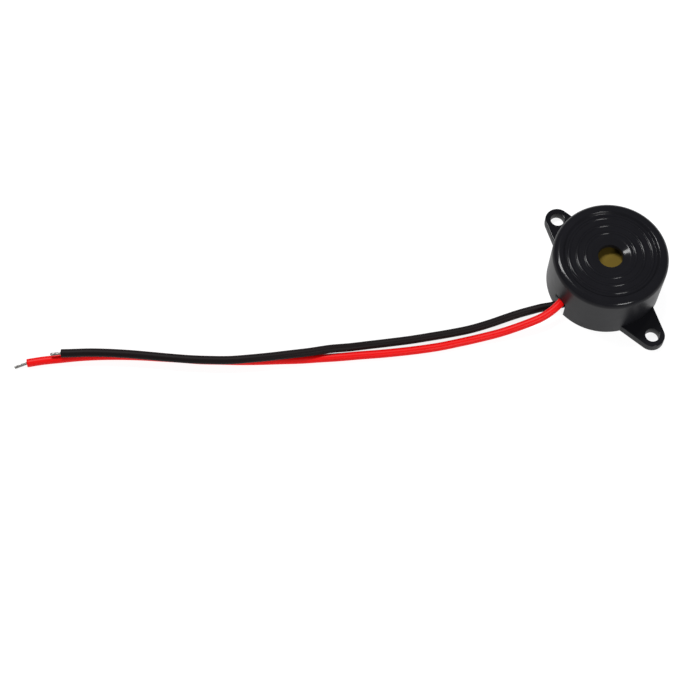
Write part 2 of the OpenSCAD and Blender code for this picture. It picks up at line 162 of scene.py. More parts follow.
class BuzzerFinishes(bpy.types.PropertyGroup):
    """Colours of the pieces."""

    housing: colour("Housing", "Black ABS of the cup and ears", "#161619")
    red: colour("Red lead", "Red PVC insulation", "#da0303")
    black: colour("Black lead", "Black PVC insulation", "#0e0607")
    tin: colour("Tinned copper", "Tinned strands and wires", "#8b8986")
    # Painted shade: the brass is a darker olive than bare brass, for the dim chamber behind the port
    brass: colour("Brass", "Rolled brass of the sounder plate", "#6f5e29")
    ceramic: colour("Ceramic", "Fired piezo ceramic", "#d9d2bd")
    silver: colour("Silver", "Printed silver electrodes", "#d6d6d4")
    silicone: colour("Silicone", "Adhesive ring", "#e4e2da")
    mask: colour("Solder mask", "Green mask of the board", "#1f5a33")
    compound: colour("Moulding compound", "Transistor body", "#202022")
    chip: colour("Chip glaze", "Glaze on the chip resistors", "#2e2e33")
    solder: colour("Solder", "Solder cones, dots and pads", "#c4c6c8")
    potting: colour("Potting", "Epoxy in the open back", "#18181a")


class BuzzerStudio(bpy.types.PropertyGroup):
    """Light and floor of the picture."""

    front: FloatProperty(
        name="Front light", description="Power of the light at the right front", default=3.6, unit="POWER"
    )
    back: FloatProperty(
        name="Back light", description="Power of the light at the left back", default=4.3, unit="POWER"
    )
    glow: FloatProperty(
        name="Table glow", description="Brightness of the light table round the object", default=0.88, min=0
    )
    floor: colour("Floor", "Opal acrylic of the floor while it is unlit", "#7c7c7c")
    room: colour("Room", "Dim surroundings above the floor", "#747478")


def in_mm(group):
    """A property group's sizes, lengths in millimetres and angles in radians."""
    sizes = [p for p in group.bl_rna.properties if p.type == "FLOAT"]
    values = {p.identifier: getattr(group, p.identifier) / (MM if p.unit == "LENGTH" else 1) for p in sizes}
    return SimpleNamespace(**values)


# Node helper and materials


def add(tree, kind, inputs=None, **settings):
    """Adds one node with its settings, and fills or links its inputs."""
    made = tree.nodes.new(kind)
    for name, value in settings.items():
        setattr(made, name, value)
    for socket, value in (inputs or {}).items():
        if isinstance(value, bpy.types.NodeSocket):
            tree.links.new(value, made.inputs[socket])
        else:
            made.inputs[socket].default_value = value
    return made


def start_material(name):
    """An empty node material, its tree and its output."""
    material = bpy.data.materials.new(name)
    material.use_nodes = True
    tree = material.node_tree
    tree.nodes.clear()
    return material, tree, add(tree, "ShaderNodeOutputMaterial")


def rgba(value, gain=1.0):
    """A linear colour with full alpha, made lighter or darker by gain."""
    return tuple(min(1.0, gain * c) for c in value) + (1.0,)


def per_mm(size):
    """Texture scale for a pattern whose features are this many millimetres apart."""
    return 1 / (size * MM)


def moulded_abs(finish):
    """Black ABS from a polished mould: deep gloss, with faint flow marks and a trace of orange peel."""
    material, tree, out = start_material("Polished-moulded black ABS")
    coordinates = add(tree, "ShaderNodeTexCoord")
    place = coordinates.outputs["Object"]
    # Flow marks some 5 mm long make the black a little uneven
    flow = add(tree, "ShaderNodeTexNoise", {"Vector": place, "Scale": per_mm(5), "Detail": 3})
    tone = add(tree, "ShaderNodeMix", {
        "Factor": flow.outputs["Fac"], 6: rgba(finish.housing, 0.8), 7: rgba(finish.housing, 1.25),
    }, data_type="RGBA")
    # Gloss varies over about 1.5 mm, where the melt cooled at another pace
    gloss = add(tree, "ShaderNodeTexNoise", {"Vector": place, "Scale": per_mm(1.5), "Detail": 4})
    rough = add(tree, "ShaderNodeMapRange", {"Value": gloss.outputs["Fac"], "To Min": 0.08, "To Max": 0.16})
    # Upright walls drag along the steel as the part is drawn, which leaves them duller than the flat faces
    facing = add(tree, "ShaderNodeSeparateXYZ", {"Vector": coordinates.outputs["Normal"]}).outputs["Z"]
    dull = add(tree, "ShaderNodeMapRange", {
        "Value": facing, "From Min": 0.5, "From Max": 0.8, "To Min": 0.28, "To Max": 0,
    })
    sides = add(tree, "ShaderNodeMath", {
        0: rough.outputs["Result"], 1: dull.outputs["Result"],
    }, operation="ADD")
    # Orange peel with bumps 0.5 mm apart, shallow enough to bend only the reflections
    peel = add(tree, "ShaderNodeTexNoise", {"Vector": place, "Scale": per_mm(0.5), "Detail": 1})
    bump = add(tree, "ShaderNodeBump", {
        "Height": peel.outputs["Fac"], "Distance": 0.002 * MM, "Strength": 0.5,
    })
    shader = add(tree, "ShaderNodeBsdfPrincipled", {
        "Base Color": tone.outputs[2], "Roughness": sides.outputs["Value"], "Normal": bump.outputs["Normal"],
        "IOR": 1.5, "Specular IOR Level": 0.12,
    })
    tree.links.new(shader.outputs["BSDF"], out.inputs["Surface"])
    return material


def patterned(tree, out, pattern, base, tones, rough, relief, strength, sockets):
    """Lets one pattern vary a surface: tones are gains on its colour, rough its range and relief is in mm."""
    tone = add(tree, "ShaderNodeMix", {
        "Factor": pattern, 6: rgba(base, tones[0]), 7: rgba(base, tones[1]),
    }, data_type="RGBA")
    dull = add(tree, "ShaderNodeMapRange", {"Value": pattern, "To Min": rough[0], "To Max": rough[1]})
    bump = add(tree, "ShaderNodeBump", {"Height": pattern, "Distance": relief * MM, "Strength": strength})
    shader = add(tree, "ShaderNodeBsdfPrincipled", {
        "Base Color": tone.outputs[2], "Roughness": dull.outputs["Result"], "Normal": bump.outputs["Normal"],
        **sockets,
    })
    tree.links.new(shader.outputs["BSDF"], out.inputs["Surface"])


def extruded_pvc(name, base, rough, gloss):
    """Soft PVC drawn through a die: satin gloss with fine streaks along the wire."""
    material, tree, out = start_material(name)
    uv = add(tree, "ShaderNodeTexCoord").outputs["UV"]
    # The map runs in millimetres: streaks are some 9 mm long and 0.2 mm wide
    stretch = add(tree, "ShaderNodeMapping", {"Vector": uv, "Scale": (0.11, 5, 1)})
    streak = add(tree, "ShaderNodeTexNoise", {"Vector": stretch.outputs["Vector"], "Scale": 1, "Detail": 3})
    patterned(
        tree, out, streak.outputs["Fac"], base, tones=(0.86, 1.12), rough=rough, relief=0.006, strength=0.5,
        sockets={"IOR": 1.53, "Specular IOR Level": gloss},
    )
    return material


def grained_metal(name, base, grain, stretch, rough):
    """A bare metal whose grain, in millimetres, varies its gloss: stretch draws the grain out along X."""
    material, tree, out = start_material(name)
    place = add(tree, "ShaderNodeTexCoord").outputs["Object"]
    scaled = add(tree, "ShaderNodeMapping", {
        "Vector": place, "Scale": (per_mm(grain * stretch), per_mm(grain), per_mm(grain)),
    })
    noise = add(tree, "ShaderNodeTexNoise", {"Vector": scaled.outputs["Vector"], "Scale": 1, "Detail": 4})
    patterned(
        tree, out, noise.outputs["Fac"], base, tones=(0.85, 1.1), rough=rough, relief=0.004, strength=0.4,
        sockets={"Metallic": 1.0},
    )
    return material


def speckled_solid(name, base, grain, spread, rough, ior):
    """A non-metal with a mottled tone: specks grain millimetres in size, with spread as their contrast."""
    material, tree, out = start_material(name)
    place = add(tree, "ShaderNodeTexCoord").outputs["Object"]
    noise = add(tree, "ShaderNodeTexNoise", {"Vector": place, "Scale": per_mm(grain), "Detail": 5})
    patterned(
        tree, out, noise.outputs["Fac"], base, tones=(1 - spread, 1 + spread), rough=rough, relief=0.01,
        strength=0.4, sockets={"IOR": ior},
    )
    return material


def finish_node(name, material):
    """Gives a CAD node its material."""
    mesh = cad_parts[name].data
    mesh.materials.clear()
    mesh.materials.append(material)


# Mesh helpers


def make_object(name, points, faces, material):
    """A mesh object from points in millimetres."""
    mesh = bpy.data.meshes.new(name)
    mesh.from_pydata([Vector(p) * MM for p in points], [], faces)
    mesh.materials.append(material)
    made = bpy.data.objects.new(name, mesh)
    bpy.context.scene.collection.objects.link(made)
    return made


def tidy_mesh(target, weld=0.0):
    """Welds points that meet, and turns every face outwards."""
    work = bmesh.new()
    work.from_mesh(target.data)
    if weld:
        bmesh.ops.remove_doubles(work, verts=work.verts, dist=weld * MM)
    bmesh.ops.recalc_face_normals(work, faces=work.faces)
    work.to_mesh(target.data)
    work.free()


def smooth_by_angle(target, degrees):
    """Smooth shading, apart from edges sharper than the angle."""
    target.data.shade_smooth()
    target.data.set_sharp_from_angle(angle=math.radians(degrees))


def strip_faces(ring_count, ring_size, closed):
    """Quads between rings of equal size, and from the last ring back to the first where closed."""
    faces = []
    for i in range(ring_count if closed else ring_count - 1):
        j = (i + 1) % ring_count
        for k in range(ring_size):
            n = (k + 1) % ring_size
            faces.append((i * ring_size + k, i * ring_size + n, j * ring_size + n, j * ring_size + k))
    return faces


def turned(name, profile, segments, closed, material):
    """A profile of radius and height, turned about Z."""
    # Turned by part of a segment, so that no point falls on the middle planes of the ears or the notch
    start = 0.37 * 2 * math.pi / segments
    points = []
    for r, z in profile:
        for k in range(segments):
            a = start + 2 * math.pi * k / segments
            points.append((r * math.cos(a), r * math.sin(a), z))
    return make_object(name, points, strip_faces(len(profile), segments, closed), material)


def combine(target, tool, operation):
    """Joins or cuts target with tool, and removes the tool."""
    modifier = target.modifiers.new("combine", "BOOLEAN")
    modifier.operation = operation
    modifier.solver = "EXACT"
    modifier.object = tool
    seen = target.evaluated_get(bpy.context.evaluated_depsgraph_get())
    mesh = bpy.data.meshes.new_from_object(seen)
    target.modifiers.clear()
    target.data = mesh
    bpy.data.objects.remove(tool, do_unlink=True)
    if not mesh.polygons:
        raise RuntimeError(f"{target.name}: nothing is left after {operation}")


def ride(piece, slot, *nodes):
    """Fixes a piece to the body and hides the CAD nodes that it stands for; slot, the name of its finish, is
    not used.
    """
    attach(piece, BODY)
    if nodes:
        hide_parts(*nodes)


# Leads


def smooth_path(route, step, floor):
    """Points about step apart on a smooth curve through the route, none lower than floor."""
    knots = [Vector(p) for p in route]
    knots = [2 * knots[0] - knots[1]] + knots + [2 * knots[-1] - knots[-2]]
    path = []
    for a, b, c, d in zip(knots, knots[1:], knots[2:], knots[3:]):
        count = max(2, round((c - b).length / step))
        for k in range(count):
            t = k / count
            path.append(0.5 * (2 * b + t * (c - a) + t * t * (2 * a - 5 * b + 4 * c - d)
                               + t ** 3 * (3 * b - a - 3 * c + d)))
    path.append(knots[-2])
    for p in path:
        p.z = max(p.z, floor)
    return path


def headings(path):
    """Unit direction at each point of a path."""
    last = len(path) - 1
    return [(path[min(i + 1, last)] - path[max(i - 1, 0)]).normalized() for i in range(last + 1)]


def insulation(name, route, r, core_r, material):
    """One lead's insulation: a swept tube with a cut outer end, mapped along its length in millimetres."""
    sides = 28
    step = 0.35
    path = smooth_path(route, step, r)
    along = headings(path)
    out = along[-1]
    end = path[-1]
    stations = [(p, h, r) for p, h in zip(path[:-1], along[:-1])]
    # The knife leaves the cut edge a little drawn in: distance before the end, and radius there
    cut = [(0.05, r), (0.015, r - 0.02), (0, r - 0.06), (0.02, 0.5 * (r + core_r)), (0.1, core_r)]
    stations += [(end - before * out, out, radius) for before, radius in cut]
    points = []
    run = [0.0]
    for i, (p, h, radius) in enumerate(stations):
        side = h.cross(Vector((0, 0, 1))).normalized()
        up = side.cross(h)
        if i:
            run.append(run[-1] + (p - stations[i - 1][0]).length)
        for k in range(sides):
            a = 2 * math.pi * k / sides
            points.append(p - radius * math.cos(a) * up + radius * math.sin(a) * side)
    faces = strip_faces(len(stations), sides, False)
    caps = [tuple(range(sides))[::-1], tuple((len(stations) - 1) * sides + k for k in range(sides))]
    made = make_object(name, points, faces + caps, material)
    uv = made.data.uv_layers.new(name="along").data
    girth = 2 * math.pi * r / sides
    loop = 0
    for i in range(len(stations) - 1):
        for k in range(sides):
            for di, dk in ((0, 0), (0, 1), (1, 1), (1, 0)):
                uv[loop].uv = (run[i + di], girth * (k + dk))
                loop += 1
    tidy_mesh(made)
    smooth_by_angle(made, 50)
    return made, path


def strand_radius(angle, strands, r):
    """Outline of tinned strands laid round a middle one, with the tin filling the grooves."""
    wire = r / 3
    off = (angle + math.pi / strands) % (2 * math.pi / strands) - math.pi / strands
    bulge = max(0.0, wire * wire - (2 * wire * math.sin(off)) ** 2)
    return max(2.5 * wire, 2 * wire * math.cos(off) + math.sqrt(bulge))


def twisted_tip(name, start, end, r, twist, strands, material):
    """The bare end of a lead: strands twisted and tinned into one, with a rounded end."""
    start, end = Vector(start), Vector(end)
    out = (end - start).normalized()
    # The strands start inside the insulation and end in a rounded cap
    tuck, cap = 0.3, 0.12
    start = start - tuck * out
    shank = (end - start).length - cap
    side = out.cross(Vector((0, 0, 1))).normalized()
    up = side.cross(out)
    girth, count = 72, 44
    stations = [shank * i / count for i in range(count)]
    stations += [shank + cap * math.sin(math.radians(a)) for a in range(0, 90, 15)]
    points = []
    for s in stations:
        left = max(0.0, s - shank) / cap
        shrink = math.sqrt(max(0.0, 1 - left * left))
        for k in range(girth):
            a = 2 * math.pi * k / girth
            radius = shrink * strand_radius(a, strands, r)
            turn = a + 2 * math.pi * s / twist
            points.append(start + s * out + radius * (math.cos(turn) * side + math.sin(turn) * up))
    faces = strip_faces(len(stations), girth, False)
    faces += [tuple(range(girth))[::-1], tuple((len(stations) - 1) * girth + k for k in range(girth))]
    made = make_object(name, points, faces, material)
    tidy_mesh(made)
    smooth_by_angle(made, 50)
    return made


# Housing


def edge_drop(x, h):
    """Drop at x beyond the end of a flat land: a rounded edge, then a straight flank."""
    bend = h.ridge_round * math.sin(h.ridge_slope)
    if x <= 0:
        return 0.0
    if x <= bend:
        return h.ridge_round - math.sqrt(h.ridge_round ** 2 - x * x)
    return h.ridge_round * (1 - math.cos(h.ridge_slope)) + (x - bend) * math.tan(h.ridge_slope)


def edge_reach(drop, h):
    """How far beyond the end of a flat land its flank has dropped this much."""
    bend_drop = h.ridge_round * (1 - math.cos(h.ridge_slope))
    return h.ridge_round * math.sin(h.ridge_slope) + (drop - bend_drop) / math.tan(h.ridge_slope)


def ridge_radii(h):
    """Radii of the ridges, as many as fit inside the rim."""
    radii = [h.first_ridge]
    while radii[-1] + 1.5 * h.pitch <= h.diameter / 2 - h.rim_round:
        radii.append(radii[-1] + h.pitch)
    return radii


def funnel_tilt(h):
    """Angle at which the funnel's cone runs from the port to its tangent on the lip's rounding."""
    across, rise = (h.port - h.funnel) / 2, h.lip_round - h.funnel_depth
    return math.atan2(rise, across) - math.acos(h.lip_round / math.hypot(across, rise)) - math.pi / 2


def face_height(r, h):
    """Height of the sounding face at one radius: rim, ridges, flat or funnel."""
    crown_r = h.diameter / 2 - h.rim_round
    crest_z = h.height - h.dish_drop
    face_z = crest_z - h.ridge_height
    off = h.funnel / 2 - r
    tilt = funnel_tilt(h)
    if r >= crown_r:
        return h.height - h.rim_round + math.sqrt(max(0.0, h.rim_round ** 2 - (r - crown_r) ** 2))
    if off > h.lip_round * math.sin(tilt):
        return face_z - h.funnel_depth + (r - h.port / 2) * math.tan(tilt)
    if off > 0:
        return face_z - h.lip_round + math.sqrt(h.lip_round ** 2 - off * off)
    tops = [crest_z - edge_drop(abs(r - ridge) - h.ridge_land / 2, h) for ridge in ridge_radii(h)]
    return max([face_z, h.height - edge_drop(crown_r - h.rim_land - r, h)] + tops)


def face_radii(h):
    """Radii at which the face is drawn, close together where it bends, from the rim to the port."""
    crown_r = h.diameter / 2 - h.rim_round
    bend = h.ridge_round * math.sin(h.ridge_slope)
    # Points on each rounded edge, and on both sides of each crease
    curve = [bend * k / 9 for k in range(10)] + [bend + 0.04]
    corner = (-0.07, -0.04, -0.02, 0, 0.02, 0.04, 0.07)
    ridge_base = edge_reach(h.ridge_height, h)
    rim_base = edge_reach(h.dish_drop + h.ridge_height, h)
    radii = [crown_r - h.rim_land - x for x in curve + [rim_base + c for c in corner]]
    for ridge in ridge_radii(h):
        offsets = [h.ridge_land / 2 + x for x in curve + [ridge_base + c for c in corner]]
        radii += [ridge] + [ridge + side * x for side in (-1, 1) for x in offsets]
    lip = h.lip_round * math.sin(funnel_tilt(h))
    radii += [h.funnel / 2 + 0.06] + [h.funnel / 2 - lip * k / 12 for k in range(13)]
    cone_r = h.funnel / 2 - lip
    radii += [h.port / 2 + 0.06 + (cone_r - h.port / 2 - 0.06) * k / 4 for k in range(5)]
    kept = []
    least = 0.006
    for r in sorted(radii, reverse=True):
        if not kept or kept[-1] - r > least:
            kept.append(r)
    return kept


def upper_profile(h):
    """Profile of the cup above the wall: rim, ridged face, funnel, port, chamber and two ledges."""
    crown_r = h.diameter / 2 - h.rim_round
    port_r = h.port / 2
    cup_r = h.diameter / 2 - h.wall
    rim_z = h.height - h.rim_round
    profile = []
    for k in range(25):
        a = math.radians(90 * k / 24)
        profile.append((crown_r + h.rim_round * math.cos(a), rim_z + h.rim_round * math.sin(a)))
    # Creases are eased over a few hundredths of a millimetre, as in any polished mould
    ease = 0.03
    for r in face_radii(h):
        around = [face_height(r + ease * s, h) for s in (-1, -0.5, 0, 0.5, 1)]
        profile.append((r, sum(around) / 5))
    edge_z = h.height - h.dish_drop - h.ridge_height - h.funnel_depth
    under_z = edge_z - h.face
    plate_z = PLATE_TOP / MM
    board_z = BOARD_TOP / MM
    chamber_r = h.chamber / 2
    bore_r = h.plate_bore / 2
    # The port's edges are broken and the chamber's upper corner is rounded
    bevel, fillet, bow = 0.06, 0.15, 0.04
    profile += [(port_r + 0.02, edge_z), (port_r, edge_z - 0.05)]
    profile += [(port_r, under_z + bevel), (port_r + bevel, under_z)]
    profile += [(chamber_r - fillet, under_z), (chamber_r - bow, under_z - bow)]
    profile += [(chamber_r, under_z - fillet), (chamber_r, plate_z)]
    profile += [(bore_r, plate_z), (bore_r, board_z), (cup_r, board_z)]
    return profile


def skirt_profile(h):
    """Closed profile of the plain wall, which the ears join and the notch cuts."""
    r = h.diameter / 2
    inner = r - h.wall
    rim_z = h.height - h.rim_round
    foot_round = 0.1
    rounded = []
    for a in (math.radians(degrees) for degrees in (0, 30, 60, 90)):
        rounded.append((r - foot_round + foot_round * math.sin(a), foot_round - foot_round * math.cos(a)))
    return [(inner, 0)] + rounded + [(r, rim_z), (inner, rim_z), (inner, BOARD_TOP / MM)]


def ear_rings(h):
    """Rings of one ear round its screw hole: hole wall, top, rounded edge, side and underside."""
    hole_x = h.hole_pitch / 2
    root = Vector((math.sqrt(h.diameter ** 2 - h.ear_root ** 2) / 2 - hole_x, h.ear_root / 2))
    tangent = math.atan2(root.y, root.x) - math.acos(h.ear_end / root.length)
    inside = h.diameter / 2 - h.wall / 2
    # The straight side runs on from its tangent point until it ends inside the wall
    hole_at = Vector((hole_x, 0))
    touch = hole_at + h.ear_end * Vector((math.cos(tangent), math.sin(tangent)))
    way = Vector((-math.sin(tangent), math.cos(tangent)))
    b = touch.dot(way)
    meet = touch + (-b - math.sqrt(b * b - touch.length_squared + inside ** 2)) * way - hole_at
    corner = math.atan2(meet.y, meet.x)
    angles = [tangent * k / 40 for k in range(-40, 41)]
    angles += [tangent + (corner - tangent) * k / 12 for k in range(1, 13)]
    angles += [corner + (2 * math.pi - 2 * corner) * k / 24 for k in range(1, 24)]
    angles += [2 * math.pi - corner + (corner - tangent) * k / 12 for k in range(12)]

    def outline(angle, inset):
        """Distance from the hole to the ear's outline, drawn in by inset."""
        off = abs((angle + math.pi) % (2 * math.pi) - math.pi)
        reach = h.ear_end - inset
        if off <= tangent:
            return reach
        if off < corner:
            return reach / math.cos(off - tangent)
        b = hole_x * math.cos(off)
        return -b - math.sqrt(b * b - hole_x ** 2 + inside ** 2)

    hole_r = h.hole / 2
    # Each ring follows the hole or the ear's edge, at a distance from it and at a height:
    # e rounds the ear's edge and c the hole's
    top, e, c = h.ear, h.edge, 0.08
    steps = [math.radians(a) for a in (0, 18, 36, 54, 72, 90)]
    rings = [("hole", c, 0), ("hole", 0.3 * c, 0.3 * c), ("hole", 0, c), ("hole", 0, top - c)]
    rings += [("hole", 0.3 * c, top - 0.3 * c), ("hole", c, top), ("hole", c + 0.04, top)]
    rings += [("edge", e + 0.05, top)]
    rings += [("edge", e * (1 - math.sin(a)), top - e * (1 - math.cos(a))) for a in steps]
    rings += [("edge", 0, 0.06), ("edge", 0.06, 0)]
    made = []
    for kind, inset, z in rings:
        ring = []
        for a in angles:
            reach = hole_r + inset if kind == "hole" else outline(a, inset)
            ring.append((hole_x + reach * math.cos(a), reach * math.sin(a), z))
        made.append(ring)
    return made


def ear(h, side, material):
    """One mounting ear, on the right where side is 1 and on the left where it is -1."""
    rings = ear_rings(h)
    points = [(side * x, side * y, z) for ring in rings for x, y, z in ring]
    made = make_object("ear", points, strip_faces(len(rings), len(rings[0]), True), material)
    tidy_mesh(made)
    return made


def notch_cutter(h, material):
    """Block that cuts the lead notch, with rounded upper corners."""
    w, top, r = h.notch / 2, h.notch_height, 0.3
    outline = [(-w, -1), (w, -1)]
    for cx, start in ((w - r, 0), (r - w, 90)):
        for a in range(start, start + 91, 15):
            outline.append((cx + r * math.cos(math.radians(a)), top - r + r * math.sin(math.radians(a))))
    near, far = -h.diameter / 2 - 1, -h.diameter / 2 + h.wall + 1
    points = [(x, y, z) for y in (near, far) for x, z in outline]
    n = len(outline)
    faces = strip_faces(2, n, False) + [tuple(range(n)), tuple(range(2 * n - 1, n - 1, -1))]
    made = make_object("notch_cutter", points, faces, material)
    tidy_mesh(made)
    return made


def wall_normals(target, r):
    """Gives the round wall its exact normals, also where the ears and the notch cut it."""
    mesh = target.data
    normals = [Vector(n.vector) for n in mesh.corner_normals]
    for face in mesh.polygons:
        corners = [mesh.vertices[v].co for v in face.vertices]
        if all(abs(math.hypot(p.x, p.y) / MM - r) < 0.002 for p in corners):
            for loop, p in zip(face.loop_indices, corners):
                normals[loop] = Vector((p.x, p.y, 0)).normalized()
    mesh.normals_split_custom_set(normals)


def housing_shell(h, material):
    """The whole moulding in one mesh: wall with ears and notch, and the turned upper part welded to it."""
    segments = 288
    shell = turned("buzzer_housing", skirt_profile(h), segments, True, material)
    tidy_mesh(shell)
    for side in (1, -1):
        combine(shell, ear(h, side, material), "UNION")
    combine(shell, notch_cutter(h, material), "DIFFERENCE")
    rim_z = (h.height - h.rim_round) * MM
    ledge_z = BOARD_TOP
    inner = (h.diameter / 2 - h.wall) * MM
    # The wall's open top and inner face make way for the turned upper part
    work = bmesh.new()
    work.from_mesh(shell.data)
    small = 1e-6
    drop = []
    for f in work.faces:
        on_top = all(abs(v.co.z - rim_z) < small for v in f.verts)
        above = all(v.co.z > ledge_z - small for v in f.verts)
        if on_top or (above and all(abs(math.hypot(v.co.x, v.co.y) - inner) < small for v in f.verts)):
            drop.append(f)
    bmesh.ops.delete(work, geom=drop, context="FACES")
    upper = turned("upper", upper_profile(h), segments, False, material)
    work.from_mesh(upper.data)
    work.to_mesh(shell.data)
    work.free()
    bpy.data.objects.remove(upper, do_unlink=True)
    tidy_mesh(shell, 0.001)
    smooth_by_angle(shell, 32)
    wall_normals(shell, h.diameter / 2)
    return shell


# Potting


def potting_pour(r, low, high, material):
    """Epoxy poured into the open back, which climbs the wall and has set with faint waves and pits."""
    rings, segments = 56, 144
    climb, climb_reach = 0.3, 0.45
    # Distance from the middle, angle and radius of each pit that a bubble left
    pits = [
        (3.1, 40, 0.32), (5.6, 118, 0.22), (7.2, 205, 0.4),
        (4.4, 251, 0.2), (6.5, 318, 0.27), (1.7, 160, 0.24),
    ]
    spots = [(d * math.cos(math.radians(a)), d * math.sin(math.radians(a)), size) for d, a, size in pits]

    def surface(x, y):
        """Height of the set surface, which faces down."""
        d = math.hypot(x, y)
        z = low - climb * math.exp((d - r) / climb_reach)
        # Two faint waves, some hundredths of a millimetre high
        z += 0.025 * math.sin(0.55 * x + 1.1) * math.cos(0.48 * y) + 0.012 * math.sin(1.3 * y - 0.4 * x)
        for px, py, size in spots:
            z += 0.45 * size * max(0.0, 1 - ((x - px) ** 2 + (y - py) ** 2) / size ** 2) ** 0.5
        return z

    points = [(0, 0, surface(0, 0))]
    for i in range(1, rings + 1):
        d = r * (1 - (1 - i / rings) ** 1.4)
        for k in range(segments):
            a = 2 * math.pi * k / segments
            points.append((d * math.cos(a), d * math.sin(a), surface(d * math.cos(a), d * math.sin(a))))
    for k in range(segments):
        a = 2 * math.pi * k / segments
        points.append((r * math.cos(a), r * math.sin(a), high))
    points.append((0, 0, high))
    faces = [(0, 1 + k, 1 + (k + 1) % segments) for k in range(segments)]
    faces += [tuple(1 + v for v in f) for f in strip_faces(rings + 1, segments, False)]
    first, last = 1 + rings * segments, len(points) - 1
    faces += [(last, first + k, first + (k + 1) % segments) for k in range(segments)]
    made = make_object("potting_pour", points, faces, material)
    tidy_mesh(made)
    smooth_by_angle(made, 40)
    return made


# Stage

# Directions in the picture, as unit lengths in the part's frame
RIGHT = Vector((0.558, 0.83, 0))
BACK = Vector((-0.83, 0.558, 0))
UP = Vector((0, 0, 1))


def soft_light(name, power, aim, direction, along, distance, width, depth):
    """A rectangular studio light on a point: its direction and long side are given as right, back and up."""
    way, side = (Vector(v).x * RIGHT + Vector(v).y * BACK + Vector(v).z * UP for v in (direction, along))
    way.normalize()
    side = (side - side.dot(way) * way).normalized()
    data = bpy.data.lights.new(name, "AREA")
    data.shape = "RECTANGLE"
    data.size = width
    data.size_y = depth
    data.energy = power
    lamp = bpy.data.objects.new(name, data)
    bpy.context.scene.collection.objects.link(lamp)
    lamp.location = aim + distance * way
    lamp.rotation_euler = Matrix((side, way.cross(side), way)).transposed().to_euler()


def lit_floor(studio):
    """Opal acrylic of a light table: matt, lit from below round the object, and darker far off."""
    material, tree, out = start_material("Sanded opal acrylic")
    place = add(tree, "ShaderNodeTexCoord").outputs["Object"]
    reach = add(tree, "ShaderNodeVectorMath", {0: place}, operation="LENGTH")
    # The glow fades between these distances, in metres, to a far value
    fade_from, fade_to, far_glow = 0.16, 0.85, 0.15
    glow = add(tree, "ShaderNodeMapRange", {
        "Value": reach.outputs["Value"], "From Min": fade_from, "From Max": fade_to,
        "To Min": studio.glow, "To Max": far_glow,
    }, interpolation_type="SMOOTHSTEP")
    # Sanding leaves a faint tooth, about 0.4 mm across
    tooth = add(tree, "ShaderNodeTexNoise", {"Vector": place, "Scale": per_mm(0.4), "Detail": 3})
    rough = add(tree, "ShaderNodeMapRange", {"Value": tooth.outputs["Fac"], "To Min": 0.75, "To Max": 0.9})
    shader = add(tree, "ShaderNodeBsdfPrincipled", {
        "Base Color": rgba(studio.floor), "Roughness": rough.outputs["Result"], "IOR": 1.49,
        "Emission Color": (1, 1, 1, 1), "Emission Strength": glow.outputs["Result"],
    })
    tree.links.new(shader.outputs["BSDF"], out.inputs["Surface"])
    return material


class BUZZER_OT_camera(bpy.types.Operator):
    """Set the camera at the photograph's place and angle"""

    bl_idname = "buzzer.camera"
    bl_label = "Camera"

    def execute(self, context):
        data = bpy.data.cameras.new("photo_camera")
        data.sensor_fit = "HORIZONTAL"
        data.sensor_width = SENSOR
        data.lens = LENS
        data.clip_start = 0.01
        camera = bpy.data.objects.new("photo_camera", data)
        context.scene.collection.objects.link(camera)
        camera.location = Vector(CAMERA_AT) * MM
        aim = Vector(CAMERA_AIM) * MM
        camera.rotation_euler = (aim - camera.location).to_track_quat("-Z", "Y").to_euler()
        context.scene.camera = camera
        return {"FINISHED"}


class BUZZER_OT_leads(bpy.types.Operator):
    """Make the red and the black lead with their tinned tips"""

    bl_idname = "buzzer.leads"
    bl_label = "Leads"

    def execute(self, context):
        sizes = context.scene.buzzer_leads
        finish = context.scene.buzzer_finishes
        r = sizes.insulation / 2 / MM
        core = sizes.conductor / 2 / MM
        # Dipped tin is a soft grey metal, brighter where it ran smooth
        tin = grained_metal("Tinned twisted copper", finish.tin, grain=0.12, stretch=1, rough=(0.28, 0.48))
        red_pvc = extruded_pvc("Extruded red PVC", finish.red, rough=(0.36, 0.5), gloss=0.15)
        black_pvc = extruded_pvc("Extruded black PVC", finish.black, rough=(0.5, 0.62), gloss=0.12)
        leads = [
            ("red", RED_ROUTE, RED_TIP_END, RED_EXIT, red_pvc),
            ("black", BLACK_ROUTE, BLACK_TIP_END, BLACK_EXIT, black_pvc),
        ]
        for name, route, tip_end, leaves, pvc in leads:
            tube, path = insulation(f"{name}_insulation", route, r, core, pvc)
            ride(tube, f"{name}_pvc", f"{name}_lead")
            tip = twisted_tip(
                f"{name}_tip_strands", route[-1], tip_end, core, sizes.twist / MM, sizes.strands, tin
            )
            ride(tip, "tinned_copper", f"{name}_conductor_tip")
        return {"FINISHED"}


class BUZZER_OT_housing(bpy.types.Operator):
    """Make the moulded cup with its ridged face, ears and lead notch"""

    bl_idname = "buzzer.housing"
    bl_label = "Housing"

    def execute(self, context):
        sizes = in_mm(context.scene.buzzer_housing)
        shell = housing_shell(sizes, moulded_abs(context.scene.buzzer_finishes))
        ride(shell, "black_abs", "housing")
        return {"FINISHED"}


